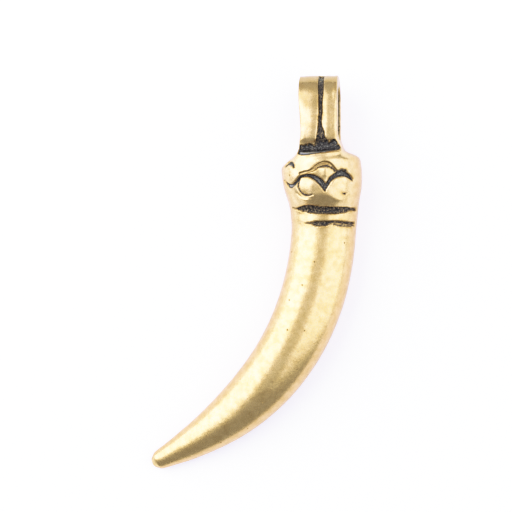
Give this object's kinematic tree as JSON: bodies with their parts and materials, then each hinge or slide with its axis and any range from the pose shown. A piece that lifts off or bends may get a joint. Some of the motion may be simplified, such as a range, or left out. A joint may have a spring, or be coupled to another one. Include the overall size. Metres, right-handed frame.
{
  "type": "brass tusk pendant",
  "caption": "Curved tusk pendant in cast brass with a bulging head, scalloped ornament, incised bands and a tall grooved bail for a cord.",
  "frame": {"origin": "middle of the whole casting, on the surface that it lies on", "axes": "+Z is the ornamented front, which faces up as it lies; +Y runs towards the bail; +X is to the right seen from the front, and the tip curves towards -X"},
  "size_m": [0.0306, 0.0562, 0.0102],
  "materials": {
    "brass": "satin polished lost-wax cast brass, with blackened recesses"
  },
  "bodies": {
    "root": {"pendant": "brass"}
  },
  "joints": []
}
